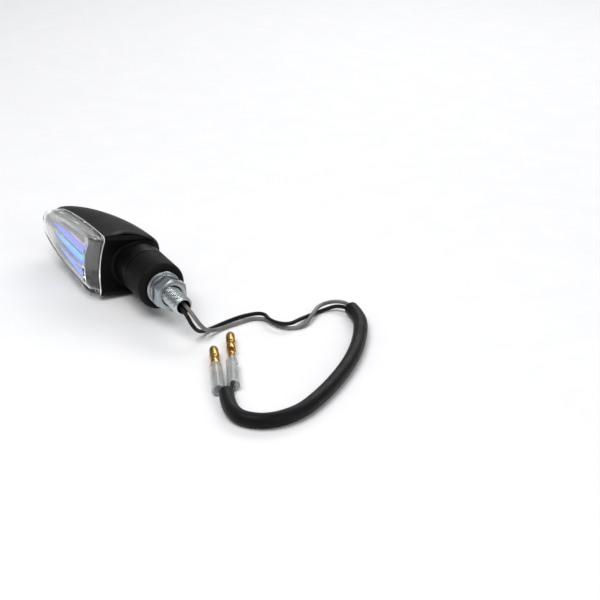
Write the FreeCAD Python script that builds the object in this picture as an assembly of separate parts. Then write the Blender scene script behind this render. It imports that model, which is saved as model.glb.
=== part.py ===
import FreeCAD, Part
import math
import os

from FreeCAD import Vector

# Motorcycle turn signal indicator: an arrowhead lamp head on a flexible rubber stem with a hollow
# threaded stud, lying on a flat surface with its lead. Millimetres.
# Frame: origin on the stud's axis at the seat, where the rubber stem meets the motorcycle's bracket.
# +X runs out along the stud, the lamp's tip points to -X, the lens faces -Y, +Z is up.

# --- driving dimensions: mounting stud and its fasteners (M8) ---
STUD_R = 4.0
STUD_OUT = 22.5
STUD_BORE_R = 2.9
STUD_FLANGE_R = 8.0
STUD_CHAMFER = 0.7
STUD_FLANGE = (-4.0, -2.5)
STUD_RELIEF = (10.9, 11.6, 3.65)
FLAT_WASHER = (7.5, 4.2, 1.6)
LOCK_WASHER = (6.8, 4.15, 2.0)
LOCK_GAP = 1.2
NUT_ACROSS_FLATS = 13.0
NUT_HEIGHT = 6.5
NUT_BORE_R = 4.05
SEAT_GAP = 0.05

# --- rubber stem and the head's neck ---
STEM_R = 10.5
STEM_LENGTH = 16.5
STEM_ROUND = 2.4
SEAM_GAP = 0.3
EMBED_GAP = 0.05
NECK_WALL_X = -21.0
NECK_HOLLOW_R = 8.2
INSERT_BORE_R = 2.6
INSERT_FLANGE = (-14.0, -12.5)
INSERT_END_X = -26.9
STEM_BORE_R = 3.2

# --- lamp head ---
TIP_X = -92.5
END_X = -27.5
RIM_Y = -16.5
RIM_HALF_HEIGHT = 13.6
HEAD_DEPTH = 28.0
TOP_BULGE = 0.9
END_HOLLOW = 3.0
WALL = 2.0
CAVITY_END_X = -33.0
CORNER_R = 3.0
LEAN_DEG = 7.0
NECK_FILLET = 1.2

# rim outlines from the rim forward: (y, inset along the sides, inset at the inner end, hollow)
LENS_OUTSIDE = ((-16.5, 0, 0, 3.0), (-19.8, 0.3, 1.4, 3.6), (-21.6, 1.3, 4.6, 4.0), (-22.3, 2.8, 7.0, 4.0))
LENS_INSIDE = ((-16.4, 1.7, 1.7, 3.0), (-19.6, 1.9, 4.2, 3.8), (-20.8, 3.0, 7.2, 4.0))
BEZEL_OUTSIDE = ((-16.52, 2.4, 3.4, 3.2), (-18.8, 2.5, 5.4, 3.8), (-20.4, 3.6, 8.4, 4.0))
BEZEL_INSIDE = ((-16.4, 3.2, 4.4, 3.2), (-18.5, 3.3, 6.4, 3.8), (-19.6, 4.6, 9.4, 4.0))

# --- lamp internals ---
BULB_Y = -5.5
BULB_R = 5.0
BULB_END_X = -45.7
HOLDER_SPAN = (-45.0, -33.8)
PAN_TIP_X = -79.5
PAN_END_X = -35.9
BULB_TIP = -58.5
FILAMENT_X = -56.5
HOLDER_R = 6.2
CONTACT_X = -33.4
SCREW_X = -84.0
SCREW_SEAT_Y = -10.4
BARS = ((8.1, 1.25, -69.5), (3.1, 2.15, -81.0), (-2.1, 2.3, -78.0), (-7.5, 1.9, -73.5))
BAR_END_X = -39.5

# --- lead, lying on the surface that the head rests on ---
FLOOR_Z = -14.0
WIRE_R = 0.85
LEAD_GAP = (-9.0, -7.5)
LEAD_JOIN_GAP = 0.1
SLEEVE_R = 3.0
INSULATOR = (2.6, 2.2, 20.6)
BULLET_R = 2.0
CRIMP_END = 23.6
WIRE_Z = FLOOR_Z + WIRE_R
OVER_Z = WIRE_Z + 2 * WIRE_R + 0.3
SLEEVE_Z = FLOOR_Z + SLEEVE_R
TERMINAL_Z = FLOOR_Z + INSULATOR[0]

GREY_ROUTE = (
    (19.5, 0.9, 0.2), (26.7, 0.9, -0.2), (30.5, 3.4, -5.6), (26.7, 8.6, -11.2), (23.1, 15.8, WIRE_Z),
    (21.3, 24.6, WIRE_Z), (19.7, 33.4, WIRE_Z), (26.7, 38.8, WIRE_Z), (35.5, 39.4, WIRE_Z),
    (37.5, 48.0, WIRE_Z), (31.1, 55.0, OVER_Z - 0.2), (24.7, 61.8, OVER_Z), (24.1, 69.4, OVER_Z),
    (28.9, 73.3, SLEEVE_Z), (34.57, 72.85, SLEEVE_Z),
)
BLACK_ROUTE = (
    (19.5, -0.9, -0.6), (26.1, -0.9, -1.0), (29.1, 1.0, -6.8), (25.1, 6.0, -11.8), (20.9, 13.0, WIRE_Z),
    (17.9, 21.4, WIRE_Z), (15.7, 30.2, WIRE_Z), (20.7, 37.2, OVER_Z), (29.7, 35.6, OVER_Z + 0.1),
    (36.7, 40.6, OVER_Z + 0.1), (32.1, 48.8, OVER_Z - 0.8), (28.1, 56.4, WIRE_Z), (26.5, 62.4, WIRE_Z),
    (27.5, 69.8, SLEEVE_Z - 0.6), (34.43, 70.95, SLEEVE_Z),
)
SLEEVE_ROUTE = (
    (34.5, 71.9, SLEEVE_Z), (44.0, 71.0, SLEEVE_Z), (57.0, 64.0, SLEEVE_Z), (72.0, 53.0, SLEEVE_Z),
    (86.0, 39.0, SLEEVE_Z), (98.0, 24.0, SLEEVE_Z), (107.0, 9.0, SLEEVE_Z), (107.0, -6.0, SLEEVE_Z),
    (95.0, -14.0, SLEEVE_Z), (79.4, -7.4, SLEEVE_Z),
)
# each terminal: (name, bullet's tip, point the terminal's line passes through, wire's bend along that
# line, where the wire leaves the sleeve's end, insulator's front end along the line)
TERMINALS = (
    ("grey", (41.5, 4.3), (74.1, -8.5), 34.0, (79.3, -8.4), 16.4),
    ("black", (32.7, 15.9), (75.4, -2.6), 43.0, (80.1, -6.6), 25.4),
)

X_AXIS = Vector(1, 0, 0)
Y_AXIS = Vector(0, 1, 0)
Z_AXIS = Vector(0, 0, 1)


# --- helpers ---
def line(start, end):
    return Part.LineSegment(start, end).toShape()


def arc(start, middle, end):
    return Part.Arc(start, middle, end).toShape()


def rod(radius, x_from, x_to, y=0.0, z=0.0):
    """Cylinder along X between two stations, in either order."""
    low, high = sorted((x_from, x_to))
    return Part.makeCylinder(radius, high - low, Vector(low, y, z), X_AXIS)


def spun(profile, y=0.0):
    """Solid of revolution about X from (x, radius) points."""
    points = [Vector(x, y, radius) for x, radius in profile]
    points.append(points[0])
    return Part.Face(Part.makePolygon(points)).revolve(Vector(0, y, 0), X_AXIS, 360)


def box(x_span, y_span, z_span):
    corner = Vector(x_span[0], y_span[0], z_span[0])
    return Part.makeBox(x_span[1] - x_span[0], y_span[1] - y_span[0], z_span[1] - z_span[0], corner)


def ring(x_from, outer_r, inner_r, thickness):
    return rod(outer_r, x_from, x_from + thickness).cut(rod(inner_r, x_from - 1, x_from + thickness + 1))


def leaned(shape):
    """The head lies back on its rounded underside, so the lens faces slightly upward."""
    shape.rotate(Vector(0, 0, 0), X_AXIS, -LEAN_DEG)
    return shape


def hex_nut(x_from, across_flats, height, bore_r):
    """Hexagon nut with a corner straight up, chamfered at both ends, plain bore."""
    corner_r = across_flats / math.sqrt(3)
    flat_r = across_flats / 2
    cham = (corner_r - flat_r) * math.tan(math.radians(30))
    corners = []
    for turn in range(7):
        angle = math.radians(90 + 60 * turn)
        corners.append(Vector(x_from, corner_r * math.cos(angle), corner_r * math.sin(angle)))
    prism = Part.Face(Part.makePolygon(corners)).extrude(Vector(height, 0, 0))
    x_to = x_from + height
    barrel = spun(((x_from, 0), (x_from, flat_r - 0.2), (x_from + cham, corner_r), (x_to - cham, corner_r),
                   (x_to, flat_r - 0.2), (x_to, 0)))
    return prism.common(barrel).cut(rod(bore_r, x_from - 1, x_to + 1))


def routed_tube(route, radius, name):
    """Round tube along straight runs joined by tangent arcs."""
    points = [Vector(point) for point in route]
    edges = []
    radii = []
    start = points[0]
    for before, corner, after in zip(points, points[1:], points[2:]):
        arriving = (before - corner).normalize()
        leaving = (after - corner).normalize()
        half_turn = (math.pi - arriving.getAngle(leaving)) / 2
        setback = 0.45 * min(before.distanceToPoint(corner), corner.distanceToPoint(after))
        bend_r = setback / math.tan(half_turn)
        radii.append(bend_r)
        first = corner + arriving * setback
        last = corner + leaving * setback
        inward = (arriving + leaving).normalize()
        centre_distance = bend_r / math.cos(half_turn)
        middle = corner + inward * (centre_distance - bend_r)
        edges.append(line(start, first))
        edges.append(arc(first, middle, last))
        start = last
    edges.append(line(start, points[-1]))
    path = Part.Wire(edges)
    circle = Part.Circle(points[0], points[1] - points[0], radius).toShape()
    tube = path.makePipeShell([Part.Wire(circle)], True, False)
    print(name, "length %.1f" % path.Length, "smallest radius %.1f" % min(radii),
          "volume ratio %.4f" % (tube.Volume / (math.pi * radius * radius * path.Length)))
    return tube


# --- the head's outline and body sections ---
def half_height(u):
    """Half the head's height at u, 0 at the tip and 1 at the inner end."""
    return RIM_HALF_HEIGHT * (1 - (1 - u) ** 1.8) ** 0.4


def back_y(u):
    """Where the head's rounded back reaches at u."""
    return RIM_Y + HEAD_DEPTH * (1 - (1 - u) ** 2) ** 0.714


def body_section(x, u, inset, front_y):
    """D-shaped section across the head: a straight front and a rounded back."""
    rim_z = half_height(u) - inset
    far_y = back_y(u) - inset
    wide_y = RIM_Y + 0.35 * (far_y - RIM_Y)
    top_z = rim_z + TOP_BULGE
    upper = [(front_y, rim_z), ((front_y + wide_y) / 2, (rim_z + top_z) / 2), (wide_y, top_z)]
    for degrees in (68, 45, 22):
        cosine = math.cos(math.radians(degrees)) ** 0.77
        sine = math.sin(math.radians(degrees)) ** 0.77
        upper.append((wide_y + (far_y - wide_y) * cosine, top_z * sine))
    lower = [(y, -z) for y, z in reversed(upper)]
    points = [Vector(x, y, z) for y, z in upper + [(far_y, 0.0)] + lower]
    curve = Part.BSplineCurve()
    curve.interpolate(points)
    return Part.Wire([curve.toShape(), line(points[-1], points[0])])


def head_body(x_tip, x_end, inset, front_y):
    stations = (0.004, 0.03, 0.08, 0.16, 0.27, 0.4, 0.55, 0.7, 0.85, 1.0)
    first_u = stations[0] + 0.014 * inset
    sections = []
    for u in stations:
        sections.append(body_section(x_tip + (x_end - x_tip) * u, max(u, first_u), inset, front_y))
    return Part.makeLoft(sections, True, False)


def outline(y, inset=0.0, end_inset=0.0, hollow=END_HOLLOW):
    """Closed outline of the lens rim: round tip, bowed sides, hollow inner end."""
    corner_x = -1.6
    corner_z = RIM_HALF_HEIGHT + TOP_BULGE - CORNER_R
    scale_z = (RIM_HALF_HEIGHT - inset) / RIM_HALF_HEIGHT
    length = END_X - TIP_X
    scale_x = (length - inset - end_inset) / length

    def place(x_from_end, z):
        return Vector(END_X - end_inset + x_from_end * scale_x, y, z * scale_z)

    side = []
    for step in range(-9, 10):
        u = (1 - math.cos(math.radians(90 * step / 9))) * (length + corner_x) / length
        side.append(place(-length * (1 - u), math.copysign(half_height(u), -step) if step else 0.0))
    curve = Part.BSplineCurve()
    curve.interpolate(side)
    low_corner = place(0, -corner_z)
    high_corner = place(0, corner_z)
    low_middle = place(-0.45, -(corner_z + 1.62))
    high_middle = place(-0.45, corner_z + 1.62)
    end_middle = Vector(END_X - end_inset - hollow, y, 0)
    return Part.Wire([
        curve.toShape(),
        arc(side[-1], low_middle, low_corner),
        arc(low_corner, end_middle, high_corner),
        arc(high_corner, high_middle, side[0]),
    ])


def stacked(levels):
    """Solid through rim outlines at several depths: (y, inset, end inset, hollow) each."""
    return Part.makeLoft([outline(*level) for level in levels], True, True)


def slab(y_from, y_to, inset, end_inset=None):
    shape = outline(y_from, inset, inset if end_inset is None else end_inset)
    return Part.Face(shape).extrude(Vector(0, y_to - y_from, 0))


def bar_profile(bar, y, shrink):
    """Long pointed bar with a square inner end, following the taper of the head."""
    centre_z, half_width, tip_x = bar
    upper = []
    lower = []
    for step in range(0, 9):
        share = step / 8
        x = tip_x + shrink * 4 + (BAR_END_X - shrink - tip_x - shrink * 4) * share
        taper = half_height((x - TIP_X) / (END_X - TIP_X)) / RIM_HALF_HEIGHT
        width = (half_width - shrink) * math.sin(math.pi / 2 * min(1.0, 0.06 + 1.15 * share)) ** 0.8
        upper.append(Vector(x, y, centre_z * taper + width))
        lower.append(Vector(x, y, centre_z * taper - width))
    edges = []
    for points in (upper, lower):
        curve = Part.BSplineCurve()
        curve.interpolate(points)
        edges.append(curve.toShape())
    return Part.Wire([edges[0], line(upper[-1], lower[-1]), edges[1], line(lower[0], upper[0])])


def bar_solids(y_from, tops, shrink):
    solids = []
    for bar, top_y in zip(BARS, tops):
        solids.append(Part.Face(bar_profile(bar, y_from, shrink)).extrude(Vector(0, top_y - y_from, 0)))
    return solids


# --- mounting side ---
def threaded_stud():
    """Hollow stud on its moulded-in flange; a shallow relief parts its free end from the clamped length."""
    relief_from, relief_to, relief_r = STUD_RELIEF
    return spun((
        (STUD_FLANGE[0], STUD_BORE_R), (STUD_FLANGE[0], STUD_FLANGE_R),
        (STUD_FLANGE[1], STUD_FLANGE_R), (STUD_FLANGE[1], STUD_R),
        (relief_from, STUD_R), (relief_from, relief_r), (relief_to, relief_r), (relief_to, STUD_R),
        (STUD_OUT - STUD_CHAMFER, STUD_R), (STUD_OUT, STUD_R - STUD_CHAMFER), (STUD_OUT, STUD_BORE_R),
    ))


def rubber_stem():
    shank = STUD_R + EMBED_GAP
    flange = STUD_FLANGE_R + EMBED_GAP
    profile = (
        (0, shank), (0, STEM_R), (-STEM_LENGTH + 0.4, STEM_R), (-STEM_LENGTH, STEM_R - 0.4),
        (-STEM_LENGTH, shank), (INSERT_FLANGE[0] - EMBED_GAP, shank), (INSERT_FLANGE[0] - EMBED_GAP, flange),
        (INSERT_FLANGE[1] + EMBED_GAP, flange), (INSERT_FLANGE[1] + EMBED_GAP, STEM_BORE_R),
        (STUD_FLANGE[0] - EMBED_GAP, STEM_BORE_R), (STUD_FLANGE[0] - EMBED_GAP, flange),
        (STUD_FLANGE[1] + EMBED_GAP, flange), (STUD_FLANGE[1] + EMBED_GAP, shank),
    )
    stem = spun(profile)
    rim = [edge for edge in stem.Edges
           if edge.Closed and abs(edge.BoundBox.XMin) < 0.001 and abs(edge.BoundBox.YMax - STEM_R) < 0.001]
    return stem.makeFillet(STEM_ROUND, rim)


def stem_insert():
    return spun((
        (INSERT_FLANGE[1], INSERT_BORE_R), (INSERT_FLANGE[1], STUD_FLANGE_R),
        (INSERT_FLANGE[0], STUD_FLANGE_R), (INSERT_FLANGE[0], STUD_R),
        (INSERT_END_X, STUD_R), (INSERT_END_X, INSERT_BORE_R),
    ))


def lock_washer():
    outer_r, inner_r, thickness = LOCK_WASHER
    start = 2 * SEAT_GAP + FLAT_WASHER[2]
    washer = ring(start, outer_r, inner_r, thickness)
    gap = box((start - 1, start + thickness + 1), (-LOCK_GAP / 2, LOCK_GAP / 2), (-outer_r - 1, 0))
    gap.rotate(Vector(0, 0, 0), X_AXIS, 25)
    return washer.cut(gap)


# --- lamp head ---
def head_trim():
    """Tool with the head's inner end shape: hollow end face and round corners."""
    far = TIP_X - 15
    top = RIM_HALF_HEIGHT + TOP_BULGE + 0.05
    start_y = RIM_Y - 15
    turn = CORNER_R * (1 - math.sqrt(0.5))

    def at(x, z):
        return Vector(x, start_y, z)

    wire = Part.Wire([
        line(at(far, -top), at(END_X - CORNER_R, -top)),
        arc(at(END_X - CORNER_R, -top), at(END_X - turn, -top + turn), at(END_X, -top + CORNER_R)),
        arc(at(END_X, -top + CORNER_R), at(END_X - END_HOLLOW, 0), at(END_X, top - CORNER_R)),
        arc(at(END_X, top - CORNER_R), at(END_X - turn, top - turn), at(END_X - CORNER_R, top)),
        line(at(END_X - CORNER_R, top), at(far, top)),
        line(at(far, top), at(far, -top)),
    ])
    return Part.Face(wire).extrude(Vector(0, 60, 0))


def junction_edges(shape):
    """Curved edges where the neck runs into the end wall."""
    found = []
    for edge in shape.Edges:
        middle = edge.valueAt((edge.FirstParameter + edge.LastParameter) / 2)
        points = [vertex.Point for vertex in edge.Vertexes] + [middle]
        on_neck = all(abs(math.hypot(point.y, point.z) - STEM_R) < 0.05 for point in points)
        inside = all(END_X - END_HOLLOW - 1 < point.x < -STEM_LENGTH - 1 for point in points)
        if on_neck and inside and not isinstance(edge.Curve, Part.Line):
            found.append(edge)
    return found


def housing():
    """Head shell with its neck, screw boss and gasket groove."""
    shell = head_body(TIP_X, END_X, 0, RIM_Y).common(head_trim())
    outside = shell.fuse(rod(STEM_R, CAVITY_END_X - 0.5, -STEM_LENGTH - SEAM_GAP))
    outside = outside.makeFillet(NECK_FILLET, junction_edges(outside))
    cavity = head_body(TIP_X + 3, CAVITY_END_X, WALL, RIM_Y - 1)
    body = outside.cut(cavity)
    body = body.cut(rod(NECK_HOLLOW_R, NECK_WALL_X, CAVITY_END_X - 1))
    body = body.cut(rod(STUD_R + 0.1, INSERT_FLANGE[1], NECK_WALL_X - 1))
    boss = Part.makeCylinder(3.9, 20, Vector(SCREW_X, RIM_Y + 2.5, 0), Y_AXIS).common(shell)
    body = body.fuse(boss)
    body = body.cut(Part.makeCylinder(2.9, 20, Vector(SCREW_X, SCREW_SEAT_Y, 0), Y_AXIS))
    body = body.cut(Part.makeCylinder(1.6, 20, Vector(SCREW_X, RIM_Y, 0), Y_AXIS))
    groove = slab(RIM_Y - 0.2, RIM_Y + 0.45, 0.7).cut(slab(RIM_Y - 0.2, RIM_Y + 0.45, 1.7))
    return body.cut(groove)


def lens():
    """Clear cover with a bevelled border and a post for its screw."""
    outside = stacked(LENS_OUTSIDE)
    inside = stacked(LENS_INSIDE)
    shell = outside.cut(inside)
    post = Part.makeCylinder(2.4, 7.0, Vector(SCREW_X, -21.0, 0), Y_AXIS)
    hole = Part.makeCylinder(1.5, 7.0, Vector(SCREW_X, -19.8, 0), Y_AXIS)
    return shell.fuse(post).cut(hole)


def lens_gasket():
    return slab(RIM_Y + 0.02, RIM_Y + 0.42, 0.8).cut(slab(RIM_Y + 0.02, RIM_Y + 0.42, 1.6))


def lens_screw():
    seat = SCREW_SEAT_Y + 0.02
    head = Part.makeCylinder(2.7, 1.8, Vector(SCREW_X, seat, 0), Y_AXIS)
    shank = Part.makeCylinder(1.45, 9.0, Vector(SCREW_X, seat - 9.0, 0), Y_AXIS)
    slot_a = box((SCREW_X - 0.35, SCREW_X + 0.35), (seat + 0.9, seat + 2), (-1.6, 1.6))
    slot_b = box((SCREW_X - 1.6, SCREW_X + 1.6), (seat + 0.9, seat + 2), (-0.35, 0.35))
    return head.fuse(shank).cut(slot_a).cut(slot_b)


def post_clearance():
    """Round opening through the inner plates for the lens's screw post."""
    return Part.makeCylinder(2.7, 12, Vector(SCREW_X, -25, 0), Y_AXIS)


def bezel():
    """Louvred silver bezel behind the lens, with four long slots."""
    plate = stacked(BEZEL_OUTSIDE).cut(stacked(BEZEL_INSIDE)).cut(post_clearance())
    for slot in bar_solids(-15.0, (-22.0,) * 4, 0.0):
        plate = plate.cut(slot)
    return plate


def dichroic_filter():
    """Coloured filter: a thin plate whose four bars fill the bezel's slots."""
    plate = slab(-17.0, -17.6, 4.4, 7.5).cut(post_clearance())
    for bar in bar_solids(-17.3, (-19.5, -20.0, -20.0, -19.5), 0.12):
        plate = plate.fuse(bar)
    return plate


def reflector_pan():
    outer = head_body(PAN_TIP_X, PAN_END_X, 2.6, RIM_Y + 0.2)
    inner = head_body(PAN_TIP_X + 1.2, PAN_END_X - 1.2, 3.8, RIM_Y - 0.8)
    return outer.cut(inner).cut(rod(HOLDER_R + 0.3, PAN_END_X + 1.4, PAN_END_X - 2.6, BULB_Y))


def bulb_holder():
    front_x, back_x = HOLDER_SPAN
    body = rod(HOLDER_R, back_x, front_x, BULB_Y).fuse(rod(9.0, back_x, back_x - 1.3, BULB_Y))
    body = body.cut(box((front_x - 1, back_x - 1.7), (BULB_Y - 1.8, BULB_Y + 1.8), (-4.3, 4.3)))
    for side in (-1.45, 1.45):
        body = body.cut(box((back_x - 2.7, back_x + 1.3), (BULB_Y + side - 0.3, BULB_Y + side + 0.3), (-1.6, 1.6)))
    return body


def contact_strip(side):
    y = BULB_Y + 1.45 * side
    return box((HOLDER_SPAN[0] + 1.5, CONTACT_X), (y - 0.2, y + 0.2), (-1.4, 1.4))


def bulb_glass():
    outer = spun(((BULB_END_X, 0), (BULB_END_X, 3.4), (BULB_END_X - 2.8, BULB_R), (BULB_TIP, BULB_R), (BULB_TIP, 0)),
                 BULB_Y)
    outer = outer.fuse(Part.makeSphere(BULB_R, Vector(BULB_TIP, BULB_Y, 0)))
    inner_r = BULB_R - 0.5
    inner_x = BULB_END_X - 0.6
    inner = spun(((inner_x, 0), (inner_x, 2.9), (inner_x - 2.4, inner_r), (BULB_TIP, inner_r), (BULB_TIP, 0)), BULB_Y)
    return outer.cut(inner.fuse(Part.makeSphere(inner_r, Vector(BULB_TIP, BULB_Y, 0))))


def bulb_wedge():
    return box((BULB_END_X + 0.05, BULB_END_X + 9.6), (BULB_Y - 1.1, BULB_Y + 1.1), (-4.1, 4.1))


def bulb_filament():
    coil = Part.makeCylinder(0.45, 5.4, Vector(FILAMENT_X, BULB_Y, -2.7), Z_AXIS)
    for z in (-2.4, 2.4):
        coil = coil.fuse(rod(0.22, FILAMENT_X, BULB_END_X - 0.65, BULB_Y, z))
    return coil


# --- lead ---
def lead_in_stud(route):
    """Straight run through the stud, ending just short of where the loose wire starts."""
    end_x, y, z = route[0]
    return rod(WIRE_R, LEAD_GAP[1], end_x - LEAD_JOIN_GAP, y, z)


def lead_in_head(side):
    start = (LEAD_GAP[0], -1.0 * side, 0.3 * side)
    corner = (INSERT_END_X - 1.2, -1.0 * side, 0.3 * side)
    end = (CONTACT_X + 0.65, BULB_Y - 1.45 * side, 0.3 * side)
    return routed_tube((start, corner, end), WIRE_R, "lead in head")


def terminal(name, tip, beyond, bend_at, sleeve_exit, insulator_at):
    """Bullet terminal, its clear insulating sleeve and the wire's tail, in line on the surface."""
    tip_point = Vector(tip[0], tip[1], TERMINAL_Z)
    back = (Vector(beyond[0], beyond[1], TERMINAL_Z) - tip_point).normalize()
    placement = FreeCAD.Placement(tip_point, FreeCAD.Rotation(X_AXIS, back))
    bullet = spun((
        (0.0, 0), (0.0, 1.15), (1.3, 1.75), (8.6, BULLET_R), (9.2, 1.65), (10.4, 1.65), (11.0, BULLET_R),
        (15.4, BULLET_R), (15.4, 1.25), (17.2, 1.25), (17.8, 1.5), (CRIMP_END, 1.5), (CRIMP_END, 0),
    ))
    bullet = bullet.cut(box((7.0, 15.6), (-0.2, 0.2), (-3, 3)))
    outer_r, inner_r, length = INSULATOR
    insulator = rod(outer_r, insulator_at, insulator_at + length).cut(rod(inner_r, insulator_at - 1, 60))
    for shape in (bullet, insulator):
        shape.Placement = placement
    crimp = tip_point + back * CRIMP_END
    bend = tip_point + back * bend_at
    tail = routed_tube((crimp, bend, Vector(sleeve_exit[0], sleeve_exit[1], SLEEVE_Z)), WIRE_R, name + " tail")
    return {name + "_bullet": bullet, name + "_insulator": insulator, name + "_tail": tail}


# --- assembly ---
def head_nodes():
    return {
        "housing": housing(),
        "lens": lens(),
        "lens_gasket": lens_gasket(),
        "lens_screw": lens_screw(),
        "bezel": bezel(),
        "dichroic_filter": dichroic_filter(),
        "reflector_pan": reflector_pan(),
        "bulb_holder": bulb_holder(),
        "live_contact": contact_strip(-1),
        "earth_contact": contact_strip(1),
        "bulb_glass": bulb_glass(),
        "bulb_wedge": bulb_wedge(),
        "bulb_filament": bulb_filament(),
        "stem_insert": stem_insert(),
        "retaining_washer": ring(NECK_WALL_X - 1.05, 7.0, 4.1, 1.0),
        "retaining_nut": hex_nut(NECK_WALL_X - 5.1, NUT_ACROSS_FLATS, 4.0, NUT_BORE_R),
        "grey_lead_in_head": lead_in_head(1),
        "black_lead_in_head": lead_in_head(-1),
    }


def mounting_nodes():
    flat_outer, flat_inner, flat_thickness = FLAT_WASHER
    nut_x = 3 * SEAT_GAP + flat_thickness + LOCK_WASHER[2]
    return {
        "threaded_stud": threaded_stud(),
        "rubber_stem": rubber_stem(),
        "flat_washer": ring(SEAT_GAP, flat_outer, flat_inner, flat_thickness),
        "lock_washer": lock_washer(),
        "hex_nut": hex_nut(nut_x, NUT_ACROSS_FLATS, NUT_HEIGHT, NUT_BORE_R),
        "grey_lead_in_stud": lead_in_stud(GREY_ROUTE),
        "black_lead_in_stud": lead_in_stud(BLACK_ROUTE),
    }


def lead_nodes():
    nodes = {
        "grey_wire": routed_tube(GREY_ROUTE, WIRE_R, "grey wire"),
        "black_wire": routed_tube(BLACK_ROUTE, WIRE_R, "black wire"),
        "cable_sleeve": routed_tube(SLEEVE_ROUTE, SLEEVE_R, "cable sleeve"),
    }
    for row in TERMINALS:
        nodes.update(terminal(*row))
    return nodes


def main():
    os.makedirs("parts", exist_ok=True)
    nodes = {name: leaned(shape) for name, shape in head_nodes().items()}
    nodes.update(mounting_nodes())
    nodes.update(lead_nodes())
    for name, shape in nodes.items():
        solid = shape.Solids[0] if len(shape.Solids) == 1 else shape
        solid.exportStep("parts/" + name + ".step")
        bound = solid.optimalBoundingBox(False)
        print("%-22s solids %d valid %s volume %.1f x %.1f..%.1f y %.1f..%.1f z %.2f..%.2f" % (
            name, len(shape.Solids), shape.isValid(), shape.Volume, bound.XMin, bound.XMax,
            bound.YMin, bound.YMax, bound.ZMin, bound.ZMax))


main()
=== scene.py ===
import math

import bmesh
import bpy
from mathutils import Matrix, Vector


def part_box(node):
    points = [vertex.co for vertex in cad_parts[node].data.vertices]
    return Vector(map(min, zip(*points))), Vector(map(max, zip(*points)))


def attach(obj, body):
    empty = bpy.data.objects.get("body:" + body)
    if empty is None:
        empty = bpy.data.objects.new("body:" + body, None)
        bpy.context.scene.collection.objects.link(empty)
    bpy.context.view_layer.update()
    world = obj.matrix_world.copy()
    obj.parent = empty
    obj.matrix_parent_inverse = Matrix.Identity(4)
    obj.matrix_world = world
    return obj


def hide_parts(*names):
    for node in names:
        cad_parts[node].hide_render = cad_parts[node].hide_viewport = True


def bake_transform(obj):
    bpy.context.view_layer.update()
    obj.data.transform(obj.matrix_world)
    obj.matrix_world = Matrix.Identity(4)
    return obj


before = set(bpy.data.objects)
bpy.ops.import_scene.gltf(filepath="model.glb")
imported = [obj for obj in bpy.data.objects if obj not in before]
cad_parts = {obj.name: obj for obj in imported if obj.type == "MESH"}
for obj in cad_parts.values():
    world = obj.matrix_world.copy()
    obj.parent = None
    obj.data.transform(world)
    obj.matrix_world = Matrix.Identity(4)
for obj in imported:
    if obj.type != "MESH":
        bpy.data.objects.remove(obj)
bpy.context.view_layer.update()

MM = 0.001

# --- sizes read from the frame, in metres ---
STUD_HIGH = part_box("threaded_stud")[1]
STEM_LOW, STEM_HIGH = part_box("rubber_stem")
LENS_LOW, LENS_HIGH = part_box("lens")
NUT_LOW, NUT_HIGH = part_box("hex_nut")
FLAT_LOW, FLAT_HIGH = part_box("flat_washer")
LOCK_LOW, LOCK_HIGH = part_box("lock_washer")
SLEEVE_LOW, SLEEVE_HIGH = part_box("cable_sleeve")
STUD_END = STUD_HIGH.x
STEM_R = STEM_HIGH.z
STEM_LENGTH = -STEM_LOW.x
FLOOR_Z = SLEEVE_LOW.z
SLEEVE_R = (SLEEVE_HIGH.z - SLEEVE_LOW.z) / 2
TIP_X = LENS_LOW.x
END_X = round(LENS_HIGH.x / MM) * MM
HEAD_LENGTH = END_X - TIP_X

# --- lamp head, in metres ---
LEAN = Matrix.Rotation(math.radians(-7.0), 4, "X")
RIM_Y = -16.5 * MM
RIM_HALF_HEIGHT = 13.6 * MM
HEAD_DEPTH = 28.0 * MM
TOP_BULGE = 0.9 * MM
CORNER_R = 3.0 * MM
CORNER_BACK = 1.6 * MM
END_HOLLOW = 3.0 * MM
NECK_END_X = -STEM_LENGTH - 0.3 * MM
NECK_FILLET = 1.2 * MM
EDGE_ROUND = 0.7 * MM
SCREW_X = -84.0 * MM
SCREW_SEAT_Y = -10.4 * MM

# outlines from the rim forward, the housing's from the rim back, in mm:
# (y, inset along the sides, inset at the inner end, hollow)
LENS_OUTSIDE = (
    (-16.5, 0.0, 0.0, 3.0), (-16.9, 0.0, 0.1, 3.05), (-17.15, 0.35, 0.5, 3.1), (-19.8, 0.5, 1.5, 3.6),
    (-21.5, 1.4, 4.6, 4.0), (-22.1, 2.6, 6.8, 4.0),
)
LENS_INSIDE = ((-16.5, 1.7, 1.7, 3.0), (-19.6, 1.9, 4.2, 3.8), (-20.8, 3.0, 7.2, 4.0))
HOUSING_RIM = (
    (-16.5, 0.02, 0.02, 3.0), (-16.5, 2.0, 2.0, 3.0), (-13.0, 2.0, 5.0, 3.0), (-9.0, 4.0, 7.0, 3.0),
)
BEZEL_SKIRT = ((-16.6, 1.95, 3.4, 3.2), (-18.8, 2.05, 5.4, 3.8), (-20.2, 2.9, 8.0, 4.0))

# coloured bars: (height above the middle, half width, tip), mm, and the face they share
BARS = ((8.1, 1.25, -69.5), (3.1, 2.15, -81.0), (-2.1, 2.3, -78.0), (-7.5, 1.9, -73.5))
BAR_END_X = -39.5
BEZEL_FACE_Y = -20.3
BAR_RECESS = 0.75
BAR_CROWN = 0.35
DARK_BAR_CROWN = 0.6

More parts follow.
